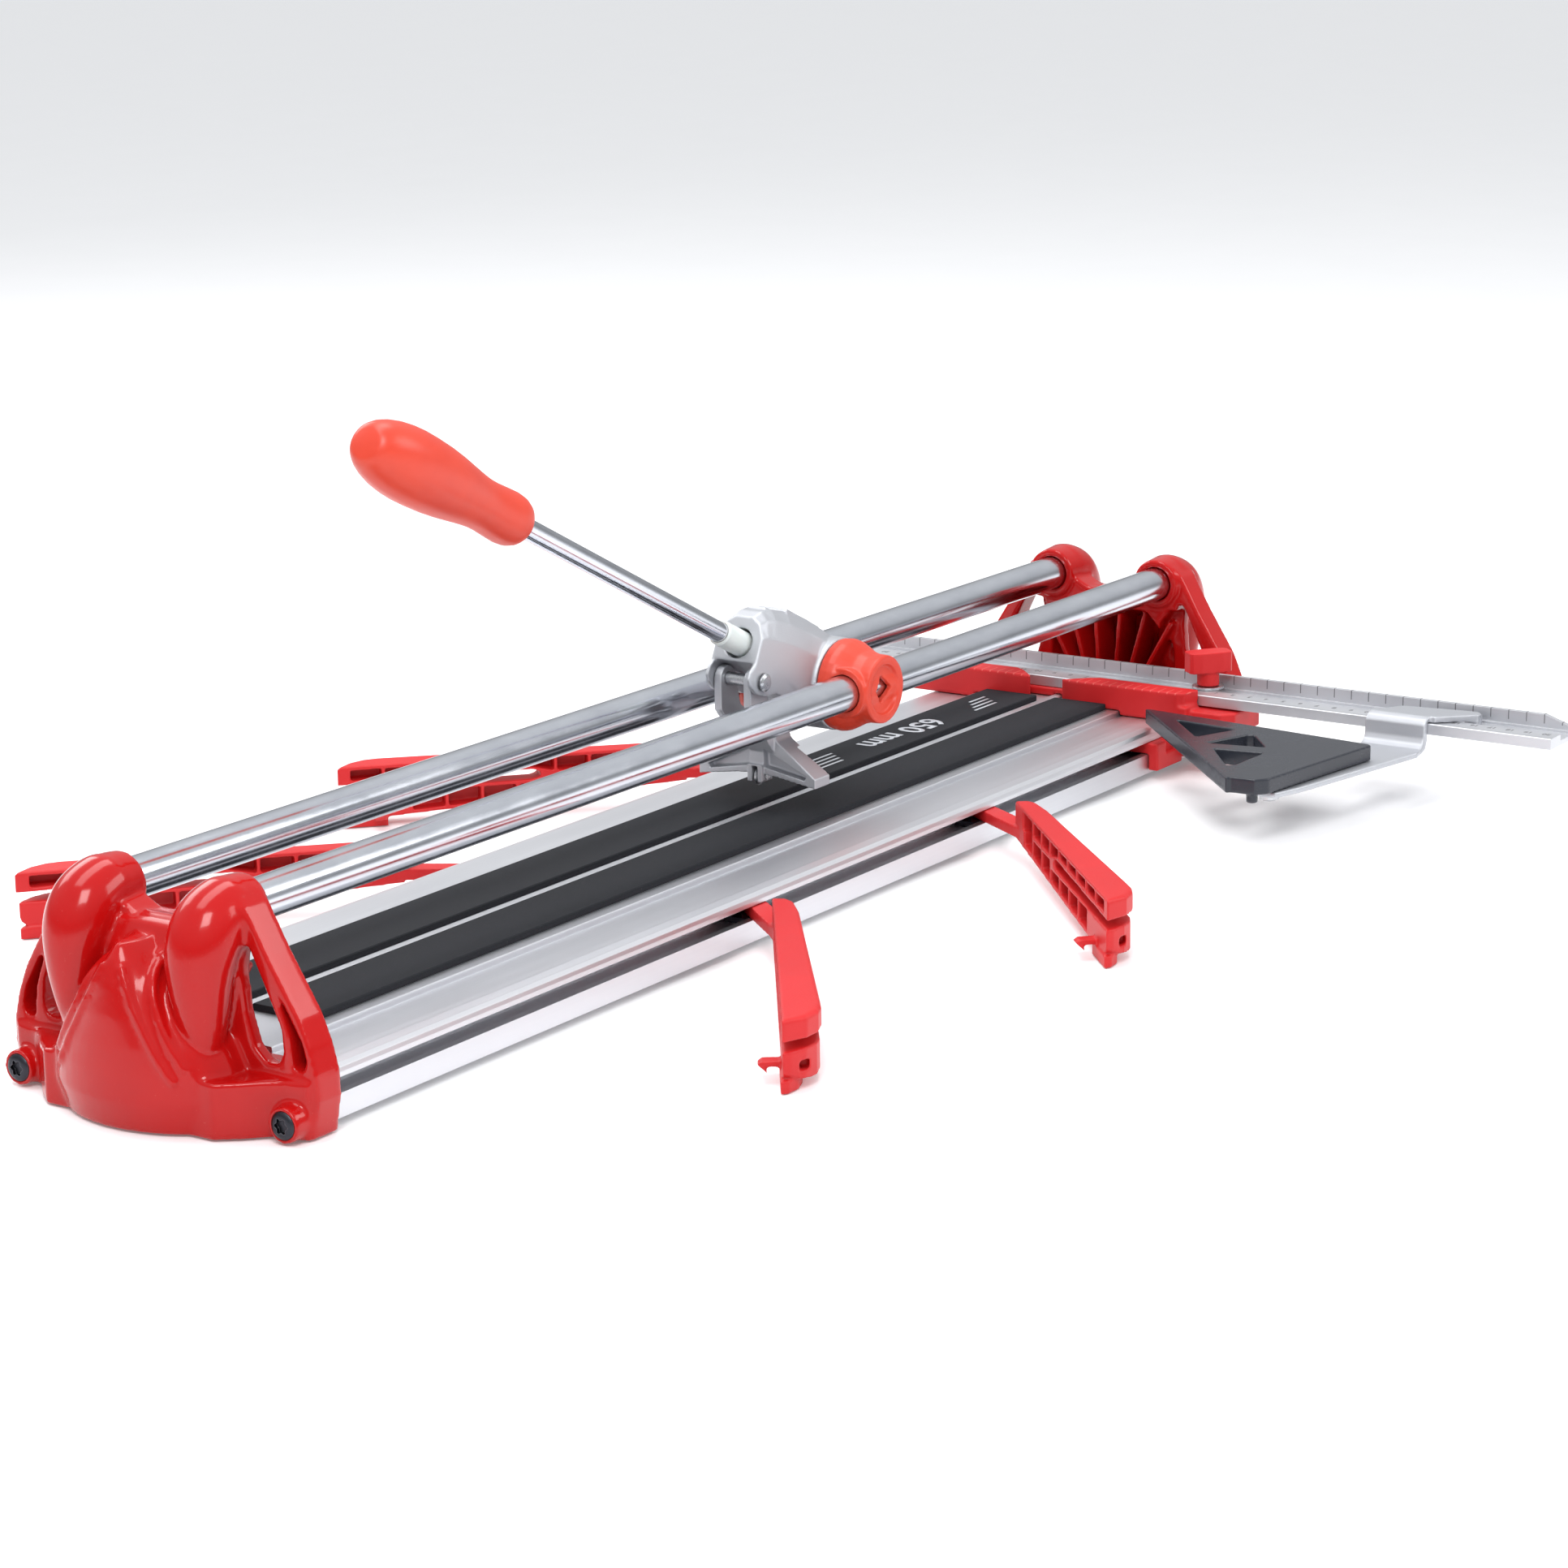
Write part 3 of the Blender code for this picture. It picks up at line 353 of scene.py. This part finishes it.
paint = Finish("gloss_red_paint", Coat_Weight=0.22, Coat_Roughness=0.03, Specular_IOR_Level=0.22)
ripple = paint.grain(9.0, detail=1)
speckle = paint.grain(1.2, detail=2)
specks = paint.node("ShaderNodeValToRGB", {"stops": [(0.7, 0.0), (0.78, 1.0)]}, Fac=speckle)
tone = paint.colours(paint.grain(40), (0.37, 0.003, 0.003), (0.47, 0.005, 0.005))
paint.set("Base Color", paint.over(specks * 0.1, tone, (0.8, 0.25, 0.2)))
paint.set("Roughness", paint.grain(12) * 0.1 + 0.12)
paint.relief(ripple, 0.035)


def flowing(points, steps):
    """Points on a smooth curve through the given ones."""
    points = [Vector(p) for p in points]
    ends = [2 * points[0] - points[1], *points, 2 * points[-1] - points[-2]]
    curve = []
    for one, two, three, four in zip(ends, ends[1:], ends[2:], ends[3:]):
        for k in range(steps):
            u = k / steps
            bend = 2 * two + (three - one) * u + (2 * one - 5 * two + 4 * three - four) * u**2
            curve.append((bend + (3 * two - one - 3 * three + four) * u**3) / 2)
    return [*curve, points[-1]]


def shield_depth(y, z):
    """How far the shield stands out at that height and distance from the middle."""
    # height, half the width there, and how far the middle stands out
    levels = [(0.8, 42, 46), (14, 47, 49.3), (26, 46, 49.7), (36, 41, 49.4)]
    levels += [(48, 31, 48), (60, 20, 45.6), (70, 10, 42), (76, 4, 38)]
    root = 24
    below = max(k for k, level in enumerate(levels[:-1]) if level[0] <= z)
    (z0, half0, front0), (z1, half1, front1) = levels[below], levels[below + 1]
    u = min((z - z0) / (z1 - z0), 1.0)
    half, front = half0 + (half1 - half0) * u, front0 + (front1 - front0) * u
    return root + (front - root) * max(1 - (y / half) ** 2, 0.0) ** 0.6


def stand(label, face_x, outward):
    def at(t, y, z):
        return Vector((face_x + outward * t, y, z))

    parts = [copied(f"stand_{label}")]
    horn = [(9, 87.2, 14.4), (12, 87, 14.7), (19.5, 83.2, 15.2), (24.5, 75.5, 15.0), (26.5, 65, 13.6)]
    horn = flowing(horn + [(26.5, 50, 11.4), (25.5, 36, 8.2), (23, 23, 4.0)], 5)
    inner = flowing([(4.4, 68), (6.2, 64.5), (10, 57), (15, 48), (21, 38), (27, 28.5), (31, 23)], 4)
    outer = [(10.2, 71, 33), (12.2, 68, 34.5), (16, 61, 37), (21, 50, 39.5), (27, 39, 40.5), (33.5, 28, 39)]
    outer = flowing(outer, 4)
    for side in (-1, 1):
        parts.append(tube([at(t, side * rail_y, z) for t, z, r in horn], [r for t, z, r in horn], 40))
        crest = [at(shield_depth(y, z) + 0.2, side * y, z) for y, z in inner]
        parts.append(tube(crest, [1.7] * len(crest), 12))
        border = [at(min(t, shield_depth(y, z) + 1.5), side * y, z) for y, z, t in outer]
        parts.append(tube(border, [2.1] * len(border), 12))
        for y0, lean in ((5, 4), (12, 16), (19, 29)):
            rib = slab((2.5, -1.3, 0), (23, 1.3, 43))
            fanned = Matrix.Rotation(math.radians(-side * lean), 4, "X")
            seat = Matrix.Translation((face_x, side * y0, 28)) @ Matrix.Diagonal((outward, 1, 1, 1))
            bmesh.ops.transform(rib, matrix=seat @ fanned, verts=rib.verts)
            bmesh.ops.recalc_face_normals(rib, faces=rib.faces)
            parts.append(rib)
    skin = cast(gathered(*parts), 1.0, 12)
    shaped(f"stand_{label}_casting", skin, f"stand_{label}", "base", paint, 0)


joint_gap = 0.3
base_low, base_high = (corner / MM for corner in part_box("base_extrusion"))
rail_y = sum(corner.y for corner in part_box("rail_far")) / 2 / MM
stand("front", base_low.x - joint_gap, -1)
stand("rear", base_high.x + joint_gap, 1)


# ---- Stand screws and feet.
# Blackened pan-head screws with a six-lobed recess hold each stand to the base, and four
# rubber studs pressed into the stands are its feet.
def turned(profile, spot, along, steps=48):
    """A turned piece; profile holds (distance along the axis, radius)."""
    shape = bmesh.new()
    verts = [shape.verts.new((radius, 0, reach)) for reach, radius in profile]
    edges = [shape.edges.new(pair) for pair in zip(verts, verts[1:])]
    around = {"cent": (0, 0, 0), "axis": (0, 0, 1), "angle": 2 * math.pi}
    bmesh.ops.spin(shape, geom=verts + edges, steps=steps, use_merge=True, **around)
    bmesh.ops.remove_doubles(shape, verts=shape.verts, dist=1e-4)
    turn = Vector(along).to_track_quat("Z", "Y").to_matrix().to_4x4()
    bmesh.ops.transform(shape, matrix=Matrix.Translation(spot) @ turn, verts=shape.verts)
    bmesh.ops.recalc_face_normals(shape, faces=shape.faces)
    return shape


oxide = Finish("black_oxide_steel", Metallic=1.0)
scuffs = oxide.grain(1.1, detail=4)
bared = oxide.worn_edges(0.5) * scuffs
oxide.set("Base Color", oxide.colours(bared, (0.045, 0.046, 0.055), (0.3, 0.3, 0.32)))
oxide.set("Roughness", scuffs * 0.25 + 0.25)
oxide.relief(scuffs, 0.03, 0.2)
for node in [f"screw_{end}_{side}" for end in ("front", "rear") for side in ("near", "far")]:
    low, high = (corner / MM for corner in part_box(node))
    outward = -1 if "front" in node else 1
    tip, top = (high.x, low.x) if outward < 0 else (low.x, high.x)
    length = abs(top - tip)
    shank, head, under = 2.3, 5.9, length - 3
    profile = [(0, 0), (0, shank - 0.4), (0.6, shank), (under, shank), (under, head - 0.2)]
    profile += [(under + 0.2, head), (length - 1.2, head), (length - 0.5, 5.3), (length - 0.1, 4.2)]
    profile += [(length, 3.4), (length, 3.0)]
    screw = turned(profile, (0, 0, 0), (0, 0, 1))
    rim = [edge for edge in screw.edges if edge.is_boundary]
    for vert in {v for edge in rim for v in edge.verts}:
        swell = 1 + 0.16 * math.cos(6 * math.atan2(vert.co.y, vert.co.x))
        vert.co.x, vert.co.y = vert.co.x * swell, vert.co.y * swell
    wall = bmesh.ops.extrude_edge_only(screw, edges=rim)["geom"]
    sunk = [g for g in wall if isinstance(g, bmesh.types.BMVert)]
    bmesh.ops.translate(screw, vec=(0, 0, -1.7), verts=sunk)
    bmesh.ops.holes_fill(screw, edges=[e for e in screw.edges if e.is_boundary], sides=0)
    turn = Vector((outward, 0, 0)).to_track_quat("Z", "Y").to_matrix().to_4x4()
    seat = Matrix.Translation((tip, (low.y + high.y) / 2, (low.z + high.z) / 2))
    bmesh.ops.transform(screw, matrix=seat @ turn, verts=screw.verts)
    bmesh.ops.recalc_face_normals(screw, faces=screw.faces)
    shaped(f"{node}_turned", screw, node, "base", oxide)
dress(rubber, *[f"foot_{end}_{side}" for end in ("front", "rear") for side in ("near", "far")])


# ---- Rails.
# Two chromed steel bars, 18 mm across, pushed into the stands. The plating is a little
# cloudy, with handling haze along it.
chrome = Finish("cloudy_chrome", Metallic=1.0)
cloud = chrome.grain(14, (2.5, 1, 1), 4, 0.6)
streak = chrome.grain(1.3, (60, 1, 1), 2)
chrome.set("Base Color", chrome.colours(cloud, (0.5, 0.52, 0.57), (0.72, 0.74, 0.79)))
chrome.set("Roughness", cloud * 0.22 + streak * 0.06 + 0.04)
chrome.relief(streak, 0.008)
for side in ("near", "far"):
    low, high = (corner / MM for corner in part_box(f"rail_{side}"))
    length, radius = high.x - low.x, (high.z - low.z) / 2
    profile = [(0, 0), (0, radius - 0.8), (0.8, radius)]
    profile += [(length * k / 8, radius) for k in range(1, 8)]
    profile += [(length - 0.8, radius), (length, radius - 0.8), (length, 0)]
    bar = turned(profile, (low.x, (low.y + high.y) / 2, (low.z + high.z) / 2), (1, 0, 0), 64)
    shaped(f"rail_{side}_bar", bar, f"rail_{side}", "base", chrome, 30)


# ---- Carriage bushings, axle and trunnions.
# Orange nylon hubs with a drum end and a diamond eye slide on the rails; a steel axle
# joins them through the head.
nylon = Finish("orange_nylon", Specular_IOR_Level=0.45)
weld = nylon.grain(22, detail=3)
pits = nylon.grain(0.6, detail=2)
nylon.set("Base Color", nylon.colours(weld, (0.56, 0.036, 0.016), (0.68, 0.058, 0.026)))
nylon.set("Roughness", weld * 0.15 + pits * 0.08 + 0.26)
nylon.relief(pits, 0.02)
for side in ("near", "far"):
    hub = cast(copied(f"bushing_{side}"), 0.6, 5)
    shaped(f"bushing_{side}_hub", hub, f"bushing_{side}", "carriage", nylon, 0)

steel = Finish("turned_steel", Metallic=1.0)
rings = steel.grain(0.8, detail=2)
steel.set("Base Color", steel.colours(rings, (0.44, 0.45, 0.47), (0.58, 0.585, 0.6)))
steel.set("Roughness", rings * 0.15 + 0.22)
steel.relief(rings, 0.01, 0.2)
dress(steel, "cross_axle", "clamp_stud", "clamp_washer", "scoring_wheel", "square_screw", "wheel_axle")
dress(steel, *[f"hinge_pin_{one}_{two}" for one in ("near", "far") for two in ("front", "rear")])


# ---- Lever head.
# A sand-cast aluminium head, shot-blasted: it has a stepped cover on top, cheeks that
# hold the breaker's pin, and a socket for the lever's rod.
pivot = Vector((79.0, 0.0, 87.5))  # middle of the cross axle
reach_way, up_way = Vector((-2, 0, 1)).normalized(), Vector((1, 0, 2)).normalized()
lever_frame = Matrix.Translation(pivot) @ Matrix((
    (reach_way.x, 0, up_way.x, 0), (0, 1, 0, 0), (reach_way.z, 0, up_way.z, 0), (0, 0, 0, 1)
))


def on_lever(shape):
    """Moves a shape made in (along the lever, across, up) to its place."""
    bmesh.ops.transform(shape, matrix=lever_frame, verts=shape.verts)
    bmesh.ops.recalc_face_normals(shape, faces=shape.faces)
    return shape


sandcast = Finish("sandcast_aluminium", Metallic=0.85)
sand = sandcast.grain(0.42, detail=3, rough=0.65)
smears = sandcast.grain(9, detail=4)
rubbed = sandcast.worn_edges(0.8) * smears
sandcast.set("Base Color", sandcast.colours(rubbed, (0.5, 0.51, 0.54), (0.72, 0.73, 0.76)))
sandcast.set("Roughness", sand * 0.2 + 0.4)
sandcast.relief(sand, 0.09)
cover = on_lever(slab((13.0, -8.4, 10.0), (45.0, 8.4, 24.3)))
nose = on_lever(slab((45.0, -4.8, 12.0), (58.0, 4.8, 20.9)))
head = cast(gathered(copied("lever_head"), cover, nose), 0.7, 3)
shaped("lever_head_casting", head, "lever_head", "lever", sandcast, 0)


# ---- Lever rod, its sleeve and the grip.
# A chromed rod screwed into the head through a pale nylon sleeve, with a moulded orange
# grip pushed on its end: slim neck, full palm swell, flat rounded butt.
def along_lever(profile, steps):
    return turned(profile, pivot, reach_way, steps)


rod = along_lever([(40, 0), (40, 4.4), (40.6, 5), (130, 5), (230, 5), (344.4, 5), (345, 4.4), (345, 0)], 48)
shaped("lever_rod_bar", rod, "lever_rod", "lever", chrome, 30)
sleeve = [(58.4, 5.15), (58.4, 6.0), (58.8, 6.3), (83.3, 6.3), (84, 5.8), (84, 5.15), (58.4, 5.15)]
sleeve = along_lever(sleeve, 48)
pale_nylon = Finish("pale_nylon", Subsurface_Weight=0.1)
milk = pale_nylon.grain(5)
pale_nylon.set("Base Color", pale_nylon.colours(milk, (0.66, 0.68, 0.64), (0.78, 0.79, 0.76)))
pale_nylon.set("Roughness", milk * 0.15 + 0.32)
shaped("rod_sleeve", sleeve, "rod_collar", "lever", pale_nylon, 30)
grip = [(256, 5.15), (256, 7.0), (256.5, 8.4), (257.6, 9.8), (259.4, 11.0), (262.5, 12.0)]
grip += [(267, 12.4), (274, 12.1), (282, 11.7), (288, 11.8), (294, 12.4), (302, 13.5), (312, 14.9)]
grip += [(322, 15.9), (332, 16.4), (340, 16.55), (347, 16.2), (354, 15.3), (360, 13.9)]
grip += [(364.5, 12.3), (368, 10.4), (370.2, 8.4), (371, 6.4), (371, 0)]
grip = along_lever(grip, 72)
shaped("lever_grip_moulding", grip, "lever_grip", "lever", nylon, 50)
dress(steel, "breaker_pin")


# ---- Breaker foot.
# A small aluminium casting with two ribbed wings that press the scored tile down on both
# sides of the rib. It hangs on a pin between the cheeks and carries the scoring wheel.
breaker = cast(copied("breaker_foot"), 0.5, 3)
shaped("breaker_foot_casting", breaker, "breaker_foot", "breaker", sandcast, 0)


# ---- Protractor body, its jaw and the wing knob.
# Moulded red nylon: two blocks with a notch over the rib and moulded ticks on top, a bed
# for the ruler, and a jaw in the side groove. The knob's stud clamps the ruler.
moulded = Finish("red_nylon", Specular_IOR_Level=0.32)
flow = moulded.grain(25, detail=3)
fine = moulded.grain(0.5, detail=2)
moulded.set("Base Color", moulded.colours(flow, (0.5, 0.01, 0.012), (0.6, 0.02, 0.022)))
moulded.set("Roughness", flow * 0.12 + fine * 0.1 + 0.34)
moulded.relief(fine, 0.02)

ticked = Finish("red_nylon_with_ticks", Specular_IOR_Level=0.32)
flow = ticked.grain(25, detail=3)
# Mask of the raised ticks on top. The lighter red mixed over them is a painted highlight where the tick tops
# catch the light; the bump gives their relief.
lit_tick_mask = (ticked.axis("Y") % 5.0 < 0.8) * (ticked.axis("Z") > 42.6) * (ticked.axis("X") < 321.5)
plain = ticked.colours(flow, (0.5, 0.01, 0.012), (0.6, 0.02, 0.022))
ticked.set("Base Color", ticked.over(lit_tick_mask * 0.4, plain, (0.85, 0.2, 0.17)))
ticked.set("Roughness", flow * 0.15 + 0.4)
ticked.relief(lit_tick_mask + ticked.grain(0.5) * 0.1, 0.25)
blocks = cast(copied("protractor_body"), 0.85, 3)
shaped("protractor_moulding", blocks, "protractor_body", "base", ticked, 0)
jaw = cast(copied("protractor_jaw"), 0.6, 3)
shaped("protractor_jaw_moulding", jaw, "protractor_jaw", "base", moulded, 0)
knob = cast(copied("clamp_knob"), 0.45, 5)
shaped("clamp_knob_moulding", knob, "clamp_knob", "knob", moulded, 0)


# ---- Ruler.
# A drawn aluminium bar with a slot for the clamp, a raised front strip with a centimetre
# scale in relief, and an upstand at the back with engraved divisions.
scale = Finish("graduated_aluminium", Metallic=0.9)
across, cloudy = scale.grain(0.9, (1, 700, 1)), scale.grain(30)
zero_y = -82.0
step_y = scale.axis("Y") - zero_y
tens = (step_y % 10.0 < 0.55) * (scale.axis("Z") > 40.9) * (scale.axis("X") > 356.0)
ones = (step_y % 1.0 < 0.28) * (scale.axis("Z") > 40.3) * (scale.axis("X") < 331.0)
bare = scale.colours(cloudy, (0.56, 0.57, 0.6), (0.7, 0.705, 0.73))
scale.set("Base Color", scale.over((tens + ones * 0.5).held() * 0.8, bare, (0.12, 0.12, 0.13)))
scale.set("Roughness", across * 0.15 + cloudy * 0.1 + 0.33)
scale.relief(across * 0.1 - tens, 0.15, 0.3)
dress(scale, "ruler")
digits = []
for number in range(1, 21):
    for way in (-1, 1):
        y = zero_y + way * 10.0 * number
        if -284 < y < 134:
            digits.append(words(str(number), 4.6, (336.6, y, 40.52), 90, bold=0.14))
raised = Finish("raised_digits", Metallic=0.8)
raised.set("Base Color", raised.colours(raised.grain(0.6), (0.2, 0.2, 0.21), (0.32, 0.32, 0.34)))
raised.set("Roughness", raised.grain(0.8) * 0.2 + 0.35)
shaped("ruler_digits", gathered(*digits), None, "ruler_bar", raised, 0)


# ---- Stop slide.
# A bent and punched aluminium plate with a sandblasted skin: it hooks over the ruler's
# upstand, ramps down in front, and its shelf carries the square.
slide = cast(copied("stop_slide"), 0.6, 6)
shaped("stop_slide_plate", slide, "stop_slide", "stop", sandcast, 0)


# ---- Mitre square and the arms' shoes.
# The square is moulded in black nylon, with open windows between its bars. The shoes
# that sit in the base's grooves and hold the arms are the same nylon.
black_nylon = Finish("black_nylon", Specular_IOR_Level=0.4)
sheen = black_nylon.grain(30)
grit = black_nylon.grain(0.5, detail=2)
black_nylon.set("Base Color", black_nylon.colours(sheen, (0.016, 0.018, 0.026), (0.03, 0.033, 0.043)))
black_nylon.set("Roughness", sheen * 0.12 + grit * 0.08 + 0.16)
black_nylon.relief(grit, 0.02, 0.3)
square = cast(copied("mitre_square"), 0.6, 3)
shaped("mitre_square_moulding", square, "mitre_square", "square", black_nylon, 0)
dress(black_nylon, *[f"shoe_{one}_{two}" for one in ("near", "far") for two in ("front", "rear")])


# ---- Side arms.
# Four red nylon supports that swing out to carry a wide tile: open ribbed pockets on one
# face, a long slot between the bars, a stepped tip with a hook, and a small foot.
for one in ("near", "far"):
    for two in ("front", "rear"):
        arm = f"arm_{one}_{two}"
        shape = cast(copied(arm), 0.68, 2)
        shaped(f"{arm}_moulding", shape, arm, arm, moulded, 0)


# ---- Floor, light and camera.
# A wide pale floor under soft area lamps, with a grey band low in the sky that the
# chromed bars mirror as their dark line.
floor = slab((-16000, -16000, -2), (16000, 16000, 0))
bmesh.ops.scale(floor, vec=(MM, MM, MM), verts=floor.verts)
floor = as_object(floor, "floor")
pale = Finish("pale_floor", Roughness=0.6, Emission_Color=(1, 1, 1, 1), Emission_Strength=0.12)
pale.set("Base Color", pale.colours(pale.grain(90), (0.86, 0.86, 0.87), (0.89, 0.89, 0.9)))
floor.data.materials.append(pale.material)


def lamp(name, spot, aim, size, power):
    light = bpy.data.lights.new(name, "AREA")
    light.shape, light.size, light.size_y, light.energy = "RECTANGLE", size[0], size[1], power
    holder = bpy.data.objects.new(name, light)
    bpy.context.scene.collection.objects.link(holder)
    holder.location = spot
    holder.rotation_euler = (Vector(aim) - Vector(spot)).to_track_quat("-Z", "Y").to_euler()


lamp("key", (-1.4, -0.9, 1.7), (0, 0, 0.05), (0.8, 0.8), 24)
lamp("fill", (0.9, -1.6, 1.2), (0, 0, 0.05), (1.2, 0.8), 14)
lamp("top", (0.0, 0.3, 1.9), (0, 0, 0), (2.2, 0.7), 22)
lamp("back", (0.3, 1.8, 1.3), (0, 0, 0.05), (1.6, 0.8), 16)
world = bpy.data.worlds.new("studio")
bpy.context.scene.world = world
world.use_nodes = True
nodes, links = world.node_tree.nodes, world.node_tree.links
sky = nodes.new("ShaderNodeTexCoord")
height = nodes.new("ShaderNodeSeparateXYZ")
ramp = nodes.new("ShaderNodeValToRGB")
links.new(sky.outputs["Generated"], height.inputs[0])
links.new(height.outputs["Z"], ramp.inputs[0])
while len(ramp.color_ramp.elements) < 4:
    ramp.color_ramp.elements.new(0.5)
sky_shades = ((0.0, 0.78), (0.13, 0.4), (0.32, 0.75), (0.62, 1.05))
for stop, (at, shade) in zip(ramp.color_ramp.elements, sky_shades):
    stop.position, stop.color = at, (shade * 0.96, shade * 0.98, shade, 1.0)
links.new(ramp.outputs[0], nodes["Background"].inputs[0])
nodes["Background"].inputs[1].default_value = 0.8
bpy.context.scene.view_settings.view_transform = "Standard"

yaw, pitch, roll = (math.radians(a) for a in (34.021, 14.026, -0.839))
ahead = Vector((math.cos(yaw) * math.cos(pitch), math.sin(yaw) * math.cos(pitch), -math.sin(pitch)))
right = Vector((math.sin(yaw), -math.cos(yaw), 0.0))
up = right.cross(ahead)
right, up = right * math.cos(roll) + up * math.sin(roll), up * math.cos(roll) - right * math.sin(roll)
camera = bpy.data.objects.new("camera", bpy.data.cameras.new("camera"))
bpy.context.scene.collection.objects.link(camera)
camera.data.lens, camera.data.sensor_width = 93.56, 36.0
camera.data.clip_start, camera.data.clip_end = 0.05, 20.0
camera.matrix_world = Matrix((
    (right.x, up.x, -ahead.x, -1.560),
    (right.y, up.y, -ahead.y, -1.09172),
    (right.z, up.z, -ahead.z, 0.5262),
    (0, 0, 0, 1),
))
bpy.context.scene.camera = camera
